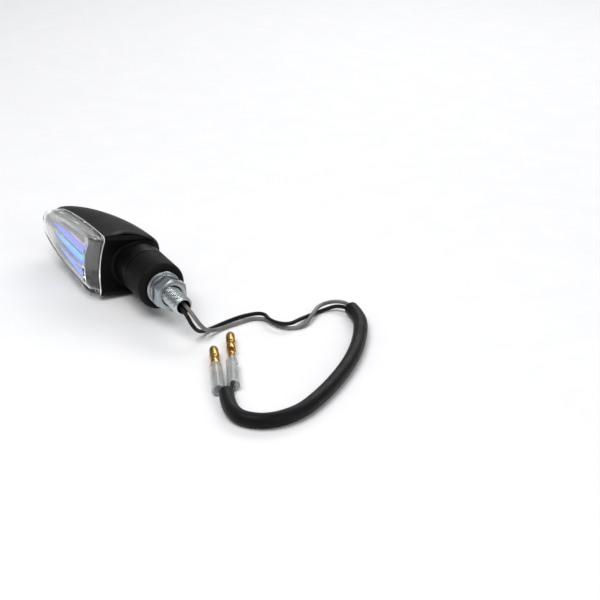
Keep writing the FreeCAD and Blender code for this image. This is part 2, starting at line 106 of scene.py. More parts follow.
# --- lead: the same route points as the CAD tubes, in mm ---
WIRE_R = 0.85
FLOOR = FLOOR_Z / MM
WIRE_Z = FLOOR + WIRE_R
OVER_Z = WIRE_Z + 2 * WIRE_R + 0.3
SLEEVE_Z = FLOOR + SLEEVE_R / MM
GREY_ROUTE = (
    (19.5, 0.9, 0.2), (26.7, 0.9, -0.2), (30.5, 3.4, -5.6), (26.7, 8.6, -11.2), (23.1, 15.8, WIRE_Z),
    (21.3, 24.6, WIRE_Z), (19.7, 33.4, WIRE_Z), (26.7, 38.8, WIRE_Z), (35.5, 39.4, WIRE_Z),
    (37.5, 48.0, WIRE_Z), (31.1, 55.0, OVER_Z - 0.2), (24.7, 61.8, OVER_Z), (24.1, 69.4, OVER_Z),
    (28.9, 73.3, SLEEVE_Z), (34.57, 72.85, SLEEVE_Z),
)
BLACK_ROUTE = (
    (19.5, -0.9, -0.6), (26.1, -0.9, -1.0), (29.1, 1.0, -6.8), (25.1, 6.0, -11.8), (20.9, 13.0, WIRE_Z),
    (17.9, 21.4, WIRE_Z), (15.7, 30.2, WIRE_Z), (20.7, 37.2, OVER_Z), (29.7, 35.6, OVER_Z + 0.1),
    (36.7, 40.6, OVER_Z + 0.1), (32.1, 48.8, OVER_Z - 0.8), (28.1, 56.4, WIRE_Z), (26.5, 62.4, WIRE_Z),
    (27.5, 69.8, SLEEVE_Z - 0.6), (34.43, 70.95, SLEEVE_Z),
)
SLEEVE_ROUTE = (
    (34.5, 71.9, SLEEVE_Z), (44.0, 71.0, SLEEVE_Z), (57.0, 64.0, SLEEVE_Z), (72.0, 53.0, SLEEVE_Z),
    (86.0, 39.0, SLEEVE_Z), (98.0, 24.0, SLEEVE_Z), (107.0, 9.0, SLEEVE_Z), (107.0, -6.0, SLEEVE_Z),
    (95.0, -14.0, SLEEVE_Z), (79.4, -7.4, SLEEVE_Z),
)
# terminals: (name, bullet's tip, point its line passes through, insulator's front end along the line), mm
TERMINALS = (("grey", (41.5, 4.3), (74.1, -8.5), 16.4), ("black", (32.7, 15.9), (75.4, -2.6), 25.4))
INSULATOR_R = 2.6
INSULATOR_LENGTH = 20.6
TERMINAL_Z = FLOOR + INSULATOR_R
# directions out of the sleeve's two mouths, and the cords' lengths in metres
MOUTH_WIRES = (-1, 0.08, 0)
MOUTH_TAILS = (-0.914, 0.407, 0)
# loose wires: (CAD node and material, slot, route, length in metres)
WIRES = (("grey_wire", "wire_grey", GREY_ROUTE, 0.109), ("black_wire", "wire_black", BLACK_ROUTE, 0.108))

# --- camera: lens and sensor in mm, turn about Z and rise in degrees, distance and target in mm ---
CAMERA_SENSOR = 36
CAMERA_LENS = 94.7
CAMERA_TURN = -27.3
CAMERA_RISE = 24.6
CAMERA_DISTANCE = 690
CAMERA_TARGET = (9, 60.5, -15)


# --- helpers ---
def to_metres(point):
    return Vector(point) * MM


def new_object(name, vertices, faces, material, lean=False, sharp_deg=35):
    """Mesh object with outward normals, smooth except at edges sharper than sharp_deg."""
    mesh = bpy.data.meshes.new(name)
    mesh.from_pydata([tuple(vertex) for vertex in vertices], [], faces)
    working = bmesh.new()
    working.from_mesh(mesh)
    bmesh.ops.remove_doubles(working, verts=working.verts, dist=1e-6)
    bmesh.ops.recalc_face_normals(working, faces=working.faces)
    working.to_mesh(mesh)
    working.free()
    if lean:
        mesh.transform(LEAN)
    mesh.shade_smooth()
    mesh.set_sharp_from_angle(angle=math.radians(sharp_deg))
    mesh.materials.append(material)
    made = bpy.data.objects.new(name, mesh)
    bpy.context.scene.collection.objects.link(made)
    return made


def grid_faces(rows, columns, close_rows=False, close_columns=False):
    """Quads of a grid of rows by columns vertices, numbered row by row."""
    faces = []
    for row in range(rows if close_rows else rows - 1):
        for column in range(columns if close_columns else columns - 1):
            next_row = (row + 1) % rows
            next_column = (column + 1) % columns
            faces.append((row * columns + column, row * columns + next_column,
                          next_row * columns + next_column, next_row * columns + column))
    return faces


def add_mesh(vertices, faces, more_vertices, more_faces):
    """Add a second mesh's vertices and faces to the first's."""
    start = len(vertices)
    vertices += more_vertices
    faces += [tuple(index + start for index in face) for face in more_faces]


def turned(name, profile, material, steps=96, closed=True, lean=False, sharp_deg=35):
    """Solid of revolution about X through (x, radius) points in mm."""
    vertices = []
    for x, radius in profile:
        for step in range(steps):
            angle = 2 * math.pi * step / steps
            vertices.append(to_metres((x, radius * math.cos(angle), radius * math.sin(angle))))
    faces = grid_faces(len(profile), steps, close_rows=closed, close_columns=True)
    return new_object(name, vertices, faces, material, lean, sharp_deg)


def finish_piece(made, body, slot, *nodes):
    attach(made, body)
    if nodes:
        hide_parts(*nodes)
    return made


def smoothstep(value):
    value = min(1.0, max(0.0, value))
    return value * value * (3 - 2 * value)


# --- materials ---
class Nodes:
    """Short way to build a node material around one Principled shader."""

    def __init__(self, name):
        self.material = bpy.data.materials.new(name)
        self.material.use_nodes = True
        self.tree = self.material.node_tree
        self.shader = self.tree.nodes["Principled BSDF"]
        self.place = self.tree.nodes.new("ShaderNodeTexCoord")

    def link(self, source, target):
        self.tree.links.new(source, target)

    def noise(self, scale, detail=3.0, roughness=0.5, stretch=(1, 1, 1)):
        mapping = self.tree.nodes.new("ShaderNodeMapping")
        mapping.inputs["Scale"].default_value = stretch
        texture = self.tree.nodes.new("ShaderNodeTexNoise")
        texture.inputs["Scale"].default_value = scale
        texture.inputs["Detail"].default_value = detail
        texture.inputs["Roughness"].default_value = roughness
        self.link(self.place.outputs["Object"], mapping.inputs["Vector"])
        self.link(mapping.outputs["Vector"], texture.inputs["Vector"])
        return texture.outputs["Fac"]

    def ramp(self, source, stops):
        ramp = self.tree.nodes.new("ShaderNodeValToRGB")
        elements = ramp.color_ramp.elements
        while len(elements) < len(stops):
            elements.new(0.5)
        for element, (position, colour) in zip(elements, stops):
            element.position = position
            element.color = (*colour, 1)
        self.link(source, ramp.inputs["Fac"])
        return ramp.outputs["Color"]

    def spread(self, source, low, high):
        spread = self.tree.nodes.new("ShaderNodeMapRange")
        spread.inputs["From Min"].default_value = 0.3
        spread.inputs["From Max"].default_value = 0.7
        spread.inputs["To Min"].default_value = low
        spread.inputs["To Max"].default_value = high
        self.link(source, spread.inputs["Value"])
        return spread.outputs["Result"]

    def bump(self, source, strength, distance):
        bump = self.tree.nodes.new("ShaderNodeBump")
        bump.inputs["Strength"].default_value = strength
        bump.inputs["Distance"].default_value = distance
        self.link(source, bump.inputs["Height"])
        self.link(bump.outputs["Normal"], self.shader.inputs["Normal"])

    def set(self, **values):
        for name, value in values.items():
            self.shader.inputs[name.replace("_", " ")].default_value = value


def surface(name, dark, light, rough, metallic=0.0, tone_scale=60, grain_scale=2500, grain=0.15,
            grain_depth=0.00003, stretch=(1, 1, 1), **values):
    """Material whose colour and gloss drift slowly and whose surface has a fine grain."""
    nodes = Nodes(name)
    tone = nodes.noise(tone_scale, 4.0)
    nodes.link(nodes.ramp(tone, ((0.35, dark), (0.65, light))), nodes.shader.inputs["Base Color"])
    nodes.link(nodes.spread(nodes.noise(tone_scale * 3, 5.0, 0.6, stretch), rough[0], rough[1]),
               nodes.shader.inputs["Roughness"])
    nodes.bump(nodes.noise(grain_scale, 2.0, 0.6, stretch), grain, grain_depth)
    nodes.set(Metallic=metallic, **values)
    return nodes.material


def streaked(name, stops, rough, metallic, tone_scale):
    """Metallised plastic whose tone runs in streaks along the lamp, from dark to bright."""
    nodes = Nodes(name)
    tone = nodes.noise(tone_scale, 3.0, 0.55, (0.28, 1, 1))
    nodes.link(nodes.ramp(tone, stops), nodes.shader.inputs["Base Color"])
    nodes.link(nodes.spread(nodes.noise(tone_scale * 3, 4.0), rough[0], rough[1]),
               nodes.shader.inputs["Roughness"])
    nodes.bump(nodes.noise(tone_scale * 4, 2.0, 0.5, (0.3, 1, 1)), 0.12, 0.0001)
    nodes.set(Metallic=metallic)
    return nodes.material


def clear(name, colour, rough, ior, tone_scale=40, **values):
    nodes = Nodes(name)
    nodes.link(nodes.spread(nodes.noise(tone_scale, 3.0), rough[0], rough[1]),
               nodes.shader.inputs["Roughness"])
    nodes.bump(nodes.noise(tone_scale * 4, 2.0), 0.03, 0.00005)
    nodes.set(**{"Base Color": (*colour, 1), "IOR": ior}, **values)
    return nodes.material


def bar_material(name, across_stops, rib_strength, glow, metallic=0.35, coat=0.35):
    """Coated bar: the colour changes across the bar, and fine ribs cross it; the bar also glows in its own
    colour with the strength glow, painted light.
    """
    nodes = Nodes(name)
    separate = nodes.tree.nodes.new("ShaderNodeSeparateXYZ")
    nodes.link(nodes.place.outputs["UV"], separate.inputs["Vector"])
    drift = nodes.noise(220, 4.0, 0.6, (0.35, 1, 1))
    shifted = nodes.tree.nodes.new("ShaderNodeMath")
    shifted.operation = "MULTIPLY_ADD"
    shifted.inputs[1].default_value = 0.55
    nodes.link(drift, shifted.inputs[0])
    nodes.link(separate.outputs["Y"], shifted.inputs[2])
    recentred = nodes.tree.nodes.new("ShaderNodeMath")
    recentred.operation = "SUBTRACT"
    recentred.inputs[1].default_value = 0.27
    nodes.link(shifted.outputs["Value"], recentred.inputs[0])
    colour = nodes.ramp(recentred.outputs["Value"], across_stops)
    nodes.link(colour, nodes.shader.inputs["Base Color"])
    # the same colour is sent out as emission: painted glow
    nodes.link(colour, nodes.shader.inputs["Emission Color"])
    ribs = nodes.tree.nodes.new("ShaderNodeTexWave")
    ribs.wave_type = "BANDS"
    ribs.bands_direction = "X"
    ribs.inputs["Scale"].default_value = 400.0
    ribs.inputs["Distortion"].default_value = 0.4
    nodes.link(nodes.place.outputs["Object"], ribs.inputs["Vector"])
    nodes.bump(ribs.outputs["Fac"], rib_strength, 0.00015)
    nodes.set(Metallic=metallic, Roughness=0.2)
    nodes.set(**{"Emission Strength": glow, "Coat Weight": coat, "Coat Roughness": 0.08})
    return nodes.material


def make_materials():
    black = (0.002, 0.002, 0.0022)
    soft_black = (0.0045, 0.0045, 0.005)
    steel_dark = (0.33, 0.36, 0.375)
    steel_light = (0.42, 0.455, 0.475)
    satin = {"Specular IOR Level": 0.11}
    violet = (0.1, 0.045, 0.42)
    blue = (0.008, 0.07, 0.8)
    sky = (0.02, 0.26, 0.95)
    teal = (0.02, 0.4, 0.55)
    dull_blue = (0.1, 0.2, 0.75)
    purple = (0.035, 0.015, 0.05)
    plum = (0.05, 0.035, 0.05)
    dusk = (0.06, 0.05, 0.12)
    return {
        "housing": surface("housing plastic", black, soft_black, (0.36, 0.46),
                           grain_scale=5200, grain=0.12, **satin),
        "rubber": surface("stem rubber", (0.003, 0.003, 0.0034), (0.006, 0.006, 0.0068), (0.5, 0.62),
                          grain_scale=4200, grain=0.22, **satin),
        "gasket": surface("gasket rubber", black, soft_black, (0.6, 0.7)),
        "steel": surface("zinc plated steel", steel_dark, steel_light, (0.2, 0.28), 1.0, tone_scale=120,
                         grain_scale=1200, grain=0.03, stretch=(1, 0.15, 0.15)),
        "thread": surface("zinc plated thread", (0.5, 0.54, 0.55), (0.58, 0.62, 0.63), (0.26, 0.32), 1.0,
                          tone_scale=60, grain_scale=1500, grain=0.02),
        # painted shade: near-black copy of the zinc finish for the thread's grooves
        "thread_root_shade": surface("thread groove painted shade", (0.012, 0.014, 0.015), (0.03, 0.033, 0.035), (0.5, 0.6), 0.2,
                               tone_scale=60, grain=0.02),
        # painted shade: near-black copy of the steel for the inside of the stud's bore
        "bore": surface("stud bore painted shade", (0.02, 0.02, 0.02), (0.05, 0.05, 0.05), (0.5, 0.7), 0.8),
        "silver": streaked("metallised silver", ((0.4, (0.05, 0.05, 0.055)), (0.48, (0.3, 0.295, 0.28)),
                                                 (0.58, (0.74, 0.73, 0.7))), (0.14, 0.26), 0.65, 110),
        # painted shade: darker copy of the metallised silver for the bezel faces turned toward the inner end
        "slope": streaked("metallised silver painted shade", ((0.34, (0.035, 0.034, 0.034)), (0.52, (0.1, 0.094, 0.088)),
                                               (0.7, (0.2, 0.185, 0.17))), (0.22, 0.3), 0.5, 45),
        "mirror": surface("reflector silver", (0.7, 0.7, 0.71), (0.82, 0.82, 0.83), (0.08, 0.16), 1.0),
        "holder": surface("holder plastic", (0.015, 0.015, 0.016), (0.03, 0.03, 0.03), (0.4, 0.5)),
        "brass": surface("bullet brass", (0.5, 0.3, 0.075), (0.68, 0.44, 0.14), (0.14, 0.26), 1.0,
                         tone_scale=150, grain_scale=900, grain=0.1, stretch=(0.2, 1, 1)),
        "tungsten": surface("filament", (0.2, 0.2, 0.21), (0.3, 0.3, 0.31), (0.4, 0.5), 1.0),
        "grey_wire": surface("grey insulation", (0.13, 0.12, 0.115), (0.2, 0.19, 0.18), (0.34, 0.46),
                             tone_scale=120, grain_scale=3000, grain=0.12),
        "black_wire": surface("black insulation", (0.008, 0.008, 0.008), (0.016, 0.016, 0.016), (0.3, 0.42),
                              tone_scale=120, grain_scale=3000, grain=0.12, **satin),
        "sleeve": surface("sleeve vinyl", (0.004, 0.004, 0.0045), (0.009, 0.009, 0.01), (0.38, 0.5),
                          tone_scale=70, grain_scale=2400, grain=0.16, **satin),
        "lens": clear("clear lens", (0.97, 0.98, 0.98), (0.0, 0.02), 1.12,
                      **{"Transmission Weight": 1.0, "Coat Weight": 1.0, "Coat Roughness": 0.02}),
        # painted highlight: near-opaque cream copy of the lens for its flange, the bright line along the lens
        # edge
        "lens_edge_highlight": clear("lens flange painted highlight", (0.93, 0.93, 0.9), (0.3, 0.4), 1.45,
                           **{"Transmission Weight": 0.15}),
        "bulb": clear("bulb glass", (0.96, 0.97, 0.98), (0.0, 0.04), 1.5, **{"Transmission Weight": 1.0}),
        "insulator": clear("milky vinyl", (0.9, 0.93, 0.93), (0.18, 0.3), 1.4, tone_scale=120,
                           **{"Transmission Weight": 0.82}),
        "bar_dark": bar_material("dark coated bar", ((0.1, plum), (0.5, purple), (0.9, dusk)),
                                 0.2, 0.0, metallic=0.0, coat=0.08),
        # the blue, cyan and lower bars glow, painted light; in the blue and lower bars the violet band along
        # the upper edge is partly the coating's hue and partly painted shade from the slot edge
        "bar_blue": bar_material("blue coated bar painted glow", ((0.1, sky), (0.42, blue), (0.8, violet)), 0.15, 1.25),
        "bar_cyan": bar_material("cyan coated bar painted glow", ((0.1, blue), (0.45, sky), (0.85, teal)), 0.9, 1.0),
        "bar_low": bar_material("lower coated bar painted glow", ((0.1, dull_blue), (0.5, sky), (0.9, violet)), 0.3, 0.7),
    }


# --- camera, floor and light ---
def make_camera():
    data = bpy.data.cameras.new("camera")
    data.sensor_width = CAMERA_SENSOR
    data.lens = CAMERA_LENS
    camera = bpy.data.objects.new("camera", data)
    turn, rise = math.radians(CAMERA_TURN), math.radians(CAMERA_RISE)
    towards = Vector((math.cos(rise) * math.cos(turn), math.cos(rise) * math.sin(turn), math.sin(rise)))
    camera.location = to_metres(CAMERA_TARGET) + to_metres(towards * CAMERA_DISTANCE)
    camera.rotation_euler = towards.to_track_quat("Z", "Y").to_euler()
    bpy.context.scene.collection.objects.link(camera)
    bpy.context.scene.camera = camera


def area_light(name, place, target, size, power):
    data = bpy.data.lights.new(name, "AREA")
    data.shape = "RECTANGLE"
    data.size, data.size_y = size
    data.energy = power
    light = bpy.data.objects.new(name, data)
    light.location = place
    light.rotation_euler = (Vector(target) - Vector(place)).to_track_quat("-Z", "Y").to_euler()
    bpy.context.scene.collection.objects.link(light)


def make_stage():
    scene = bpy.context.scene
    scene.view_settings.view_transform = "Standard"
    world = bpy.data.worlds.new("studio")
    world.use_nodes = True
    background = world.node_tree.nodes["Background"]
    background.inputs["Color"].default_value = (0.95, 0.96, 1.0, 1)
    background.inputs["Strength"].default_value = 0.36
    scene.world = world
    half = 3.0
    corners = [(x, y, FLOOR_Z) for x, y in ((-half, -half), (half, -half), (half, half), (-half, half))]
    paper = surface("floor", (0.94, 0.94, 0.94), (0.96, 0.96, 0.96), (0.6, 0.7), grain_scale=300, grain=0.02)
    floor = new_object("floor", corners, [(0, 1, 2, 3)], paper)
    area_light("key", (0.1, -0.3, 0.8), (0, 0, 0), (0.6, 0.6), 4.6)
    area_light("back", (-0.45, 0.5, 0.5), (0, 0, 0), (0.7, 0.3), 2.2)
    area_light("side", (0.75, 0.15, 0.4), (0, 0, 0), (0.3, 0.5), 1.2)


# --- lead ---
def spline_cord(name, route, radius_mm, material):
    """NURBS tube through the route's points as its control points."""
    curve = bpy.data.curves.new(name, "CURVE")
    curve.dimensions = "3D"
    curve.bevel_depth = radius_mm * MM
    curve.bevel_resolution = 7
    curve.resolution_u = 14
    curve.use_fill_caps = True
    spline = curve.splines.new("NURBS")
    spline.points.add(len(route) - 1)
    for point, place in zip(spline.points, route):
        point.co = (*to_metres(place), 1)
    spline.order_u = 3
    spline.use_endpoint_u = True
    curve.materials.append(material)
    made = bpy.data.objects.new(name, curve)
    bpy.context.scene.collection.objects.link(made)
    return made


def terminal_frame(tip, beyond):
    """Matrix whose X runs back from the bullet's tip along the terminal."""
    origin = to_metres((tip[0], tip[1], TERMINAL_Z))
    back = (to_metres((beyond[0], beyond[1], TERMINAL_Z)) - origin).normalized()
    side = Vector((-back.y, back.x, 0))
    matrix = Matrix((back, side, Vector((0, 0, 1)))).transposed().to_4x4()
    matrix.translation = origin
    return matrix


def make_terminal(name, tip, beyond, insulator_at, materials):
    place = terminal_frame(tip, beyond)
    bullet = turned(name + "_terminal", (
        (0.0, 0.0), (0.0, 0.9), (0.15, 1.15), (0.5, 1.4), (1.3, 1.75), (1.8, 1.88), (3.0, 1.97), (8.4, 1.98),
        (8.7, 1.92), (9.1, 1.66), (10.5, 1.66), (10.9, 1.92), (11.2, 1.98), (15.1, 1.98), (15.4, 1.9),
        (15.4, 1.3), (17.2, 1.22), (17.8, 1.42), (18.2, 1.5), (20.0, 1.5), (20.3, 1.32), (20.9, 1.32),
        (21.2, 1.5), (23.4, 1.5), (23.6, 1.4), (23.6, 0.0)), materials["brass"], steps=64, closed=False)
    outer, inner = INSULATOR_R, INSULATOR_R - 0.4
    start, end = insulator_at, insulator_at + INSULATOR_LENGTH
    sheath = turned(name + "_sheath", (
        (start, inner), (start, outer - 0.22), (start + 0.1, outer - 0.08), (start + 0.4, outer - 0.05),
        (start + 6.0, outer - 0.12), (start + 13.0, outer - 0.06), (end - 1.2, outer - 0.04),
        (end - 0.3, outer), (end, outer - 0.08), (end, inner), (start + 10, inner - 0.02)),
        materials["insulator"], steps=64)
    for made in (bullet, sheath):
        made.data.transform(place)
    finish_piece(bullet, "stud_side", "bullet_brass", name + "_bullet")
    finish_piece(sheath, name + "_insulator_body", "insulator_clear", name + "_insulator")
    return [bullet, sheath]


def sleeve_mouth(name, place, away, material):
    """Rounded open end of the sleeve, with the hollow that the wires go into."""
    radius = SLEEVE_R / MM
    mouth = turned(name, ((0.9, radius - 0.02), (0.25, radius), (0.0, radius - 0.15), (0.0, radius - 0.55),
                          (0.12, radius - 0.65), (0.12, 0.0)), material, steps=48, closed=False)
    away = Vector(away).normalized()
    matrix = (-away).to_track_quat("X", "Z").to_matrix().to_4x4()
    matrix.translation = to_metres(place) + away * 0.15 * MM
    mouth.data.transform(matrix)
    return finish_piece(mouth, "stud_side", "sleeve_black")


def make_lead(materials):
    pieces = []
    for name, tip, beyond, insulator_at in TERMINALS:
        pieces += make_terminal(name, tip, beyond, insulator_at, materials)
        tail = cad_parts[name + "_tail"]
        tail.data.materials.clear()
        tail.data.materials.append(materials[name + "_wire"])
        pieces.append(tail)
    pieces.append(sleeve_mouth("sleeve_mouth_wires", SLEEVE_ROUTE[0], MOUTH_WIRES, materials["sleeve"]))
    pieces.append(sleeve_mouth("sleeve_mouth_tails", SLEEVE_ROUTE[-1], MOUTH_TAILS, materials["sleeve"]))
    sleeve = spline_cord("sleeve", SLEEVE_ROUTE, SLEEVE_R / MM, materials["sleeve"])
    finish_piece(sleeve, "stud_side", "sleeve_black", "cable_sleeve")
    for name, slot, route, length in WIRES:
        wire = spline_cord("loose_" + name, route, WIRE_R, materials[name])
        finish_piece(wire, "stud_side", slot, name)


# --- head outline and sections, in metres ---
def half_height(u):
    u = min(1.0, max(0.0, u))
    return RIM_HALF_HEIGHT * (1 - (1 - u) ** 1.8) ** 0.4


def back_y(u):
    u = min(1.0, max(0.0, u))
    return RIM_Y + HEAD_DEPTH * (1 - (1 - u) ** 2) ** 0.714


def section_point(u, t, inset=0.0):
    """Point (y, z) of the head's outer section at u; t runs from 0 at the upper rim to 1 at the lower rim."""
    upper = t <= 0.5
    t = t if upper else 1 - t
    rim_z = half_height(u)
    far_y = back_y(u) - inset
    wide_y = RIM_Y + 0.35 * (far_y - RIM_Y)
    top_z = rim_z + TOP_BULGE * smoothstep(u / 0.08) - inset
    if t < 0.12:
        share = t / 0.12
        y = RIM_Y + (wide_y - RIM_Y) * share
        z = rim_z + (top_z - rim_z) * math.sin(math.pi / 2 * share)
    else:
        angle = math.pi / 2 * (1 - (t - 0.12) / 0.38)
        power = 2.6
        depth = max(far_y - wide_y, 1e-6)
        height = max(top_z, 1e-6)
        reach = ((math.cos(angle) / depth) ** power + (math.sin(angle) / height) ** power) ** (-1 / power)
        y = wide_y + reach * math.cos(angle)
        z = reach * math.sin(angle)
    return y, z if upper else -z


def end_x(z):
    """Where the head's hollow inner end lies at height z, corners rounded."""
    corner_z = RIM_HALF_HEIGHT + TOP_BULGE - CORNER_R
    height = abs(z)
    if height <= corner_z:
        return END_X - END_HOLLOW * (1 - (height / corner_z) ** 2)
    over = min(height - corner_z, CORNER_R)
    return END_X - CORNER_R + math.sqrt(CORNER_R ** 2 - over ** 2)


def outline(level, count=180):
    """Closed ring of points at one level of the lens or bezel."""
    y, inset, end_inset, hollow = (value * MM for value in level)
    corner_x = -CORNER_BACK
    corner_z = RIM_HALF_HEIGHT + TOP_BULGE - CORNER_R
    scale_z = max((RIM_HALF_HEIGHT - inset) / RIM_HALF_HEIGHT, 1e-4)
    scale_x = (HEAD_LENGTH - inset - end_inset) / HEAD_LENGTH
    points = []
    side_count = int(count * 0.36)
    for step in range(-side_count, side_count + 1):
        u = (1 - math.cos(math.pi / 2 * step / side_count)) * (HEAD_LENGTH + corner_x) / HEAD_LENGTH
        points.append((-HEAD_LENGTH * (1 - u), math.copysign(half_height(u), step) if step else 0.0))
    corner_steps = 5
    middle_steps = count - 2 * side_count - 1 - 2 * corner_steps
    rim_top = (corner_x, RIM_HALF_HEIGHT)
    corner = [(corner_x * (1 - math.sin(math.pi / 2 * k / corner_steps)),
               corner_z + (rim_top[1] - corner_z) * math.cos(math.pi / 2 * k / corner_steps))
              for k in range(1, corner_steps + 1)]
    points += corner
    for step in range(1, middle_steps + 1):
        share = 1 - 2 * step / (middle_steps + 1)
        points.append((-hollow * (1 - share ** 2), corner_z * share))
    points += [(x, -z) for x, z in reversed(corner)]
    return [Vector((END_X - end_inset + x * scale_x, y, z * scale_z)) for x, z in points]


def face_levels(level, centre_y, steps=9):
    """Levels that close a face inward from one outline to its middle line, slightly domed."""
    y, inset, end_inset, hollow = level
    levels = []
    for step in range(1, steps + 1):
        share = step / steps
        levels.append((y + (centre_y - y) * math.sin(math.pi / 2 * share), inset + (13.6 - inset) * share,
                       end_inset + 4 * share, hollow * (1 - 0.5 * share)))
    return levels


def ring_stack(levels):
    vertices = []
    for level in levels:
        vertices += outline(level)
    return vertices, grid_faces(len(levels), len(vertices) // len(levels), close_columns=True)


# --- head pieces ---
def housing_skin():
    """Outer skin, rounded into the end wall."""
    rows, columns = 74, 121
    vertices = []
    for row in range(rows):
        share = 0.03 + 0.97 * row / (rows - 1)
        along = share ** 2.0 if share < 0.6 else 0.36 + (share - 0.6) * 1.6
        for column in range(columns):
            t = column / (columns - 1)
            limit = end_x(section_point(1.0, t)[1])
            x = TIP_X + (limit - TIP_X) * along
            to_end = (limit - x)
            inset = 0.0
            if to_end < EDGE_ROUND:
                inset = EDGE_ROUND - math.sqrt(max(EDGE_ROUND ** 2 - (EDGE_ROUND - to_end) ** 2, 0))
            inset *= smoothstep(min(t, 1 - t) / 0.12)
            y, z = section_point((x - TIP_X) / HEAD_LENGTH, t, inset)
            vertices.append(Vector((x, y, z)))
    faces = grid_faces(rows, columns)
    return vertices, faces


def housing_end_wall():
    """End wall from the skin's inner edge to the neck, with the fillet between them, then the neck."""
    boundary = []
    for column in range(121):
        inset = EDGE_ROUND * smoothstep(min(column, 120 - column) / 14.4)
        boundary.append(section_point(1.0, column / 120, inset))
    lower, upper = boundary[-1], boundary[0]
    for step in range(1, 40):
        boundary.append((lower[0], lower[1] + (upper[1] - lower[1]) * step / 40))
    vertices = []
    rings = 16
    for ring in range(rings + 1):
        share = (1 - ring / rings) ** 1.4
        for y, z in boundary:
            direction = Vector((y, z)).normalized()
            room = Vector((y, z)).length - STEM_R
            fillet = min(NECK_FILLET, 0.95 * room)
            gap = room * share
            point = direction * (STEM_R + gap)
            rise = 0.0
            if gap < fillet:
                rise = fillet - math.sqrt(max(fillet ** 2 - (fillet - gap) ** 2, 0))
            vertices.append(Vector((end_x(point.y) + rise, point.x, point.y)))
    for x, radius in ((NECK_END_X - 4 * MM, STEM_R), (NECK_END_X - 0.35 * MM, STEM_R),
                      (NECK_END_X - 0.1 * MM, STEM_R - 0.1 * MM), (NECK_END_X, STEM_R - 0.35 * MM),
                      (NECK_END_X, 4.3 * MM)):
        for y, z in boundary:
            direction = Vector((y, z)).normalized() * radius
            vertices.append(Vector((x, direction.x, direction.y)))
    return vertices, grid_faces(rings + 6, len(boundary), close_columns=True)


def make_housing(materials):
    vertices, faces = housing_skin()
    wall_vertices, wall_faces = housing_end_wall()
    add_mesh(vertices, faces, wall_vertices, wall_faces)
    rim_vertices, rim_faces = ring_stack(HOUSING_RIM)
    add_mesh(vertices, faces, rim_vertices, rim_faces)
    housing = new_object("head_shell", vertices, faces, materials["housing"], lean=False, sharp_deg=40)
    cutter = turned("screw_recess", ((0.0, 0.0), (0.0, 2.9), (20.0, 2.9), (20.0, 0.0)), materials["housing"],
                    steps=48, closed=False)
    turn = Matrix.Rotation(math.radians(90), 4, "Z")
    turn.translation = (SCREW_X, SCREW_SEAT_Y, 0)
    cutter.data.transform(turn)
    hole = housing.modifiers.new("recess", "BOOLEAN")
    hole.object = cutter
    hole.operation = "DIFFERENCE"
    hole.solver = "EXACT"
    # the cut mesh is kept only when the cut has left the shell whole
    applied = bpy.data.meshes.new_from_object(housing.evaluated_get(bpy.context.evaluated_depsgraph_get()))
    housing.modifiers.clear()
    if len(applied.polygons) > 0.8 * len(housing.data.polygons):
        housing.data = applied
    bpy.data.objects.remove(cutter)
    housing.data.transform(LEAN)
    finish_piece(housing, "lamp_head", "housing_black", "housing")


def make_lens(materials):
    outside = list(LENS_OUTSIDE) + face_levels(LENS_OUTSIDE[-1], -22.3)
    inside = list(LENS_INSIDE) + face_levels(LENS_INSIDE[-1], -20.95)
    vertices, faces = ring_stack(list(reversed(inside)) + outside)
    lens = new_object("lens_cover", vertices, faces, materials["lens"], lean=True, sharp_deg=24)
    lens.data.materials.append(materials["lens_edge_highlight"])
    flat = LEAN.inverted()
    rim_front_y = LENS_OUTSIDE[1][0] * MM
    # faces of the flange band at the rim take the painted highlight
    for face in lens.data.polygons:
        if rim_front_y < (flat @ face.center).y < RIM_Y - 0.01 * MM:
            face.material_index = 1
    finish_piece(lens, "lamp_head", "lens_clear", "lens")


def bar_taper(x):
    """How far out a bar lies at x (mm), as a share of its height at the inner end."""
    return half_height((x * MM - TIP_X) / HEAD_LENGTH) / RIM_HALF_HEIGHT


def bar_width(half_width, share):
    """Half width (mm) of a pointed bar at a share of its length from the tip."""
    return half_width * math.sin(math.pi / 2 * min(1.0, 0.06 + 1.15 * share)) ** 0.8


def bar_reach(bar, x, z):
    """How far (mm) a point is inside a bar, negative outside; x and z in mm."""
    centre, half_width, tip = bar
    if x <= tip:
        return -1.0
    share = (x - tip) / (BAR_END_X - tip)
    return min(bar_width(half_width, share) - abs(z - centre * bar_taper(x)), BAR_END_X - x)


def bezel_place(level, along, across):
    """Point (x, z) in mm on the bezel's face: along from the inner end, across from -1 to 1."""
    inset, end_inset, hollow = level[1:]
    into_corner = max(0.0, (abs(across) - 0.8) / 0.2)
    end = END_X / MM - end_inset - hollow * (1 - across ** 2) - CORNER_BACK / MM * into_corner ** 2
    tip = TIP_X / MM + inset
    x = end + (tip - end) * along
    u = (x - tip) / (END_X / MM - end_inset - tip)
    return x, across * half_height(u) / MM * (RIM_HALF_HEIGHT / MM - inset) / (RIM_HALF_HEIGHT / MM)


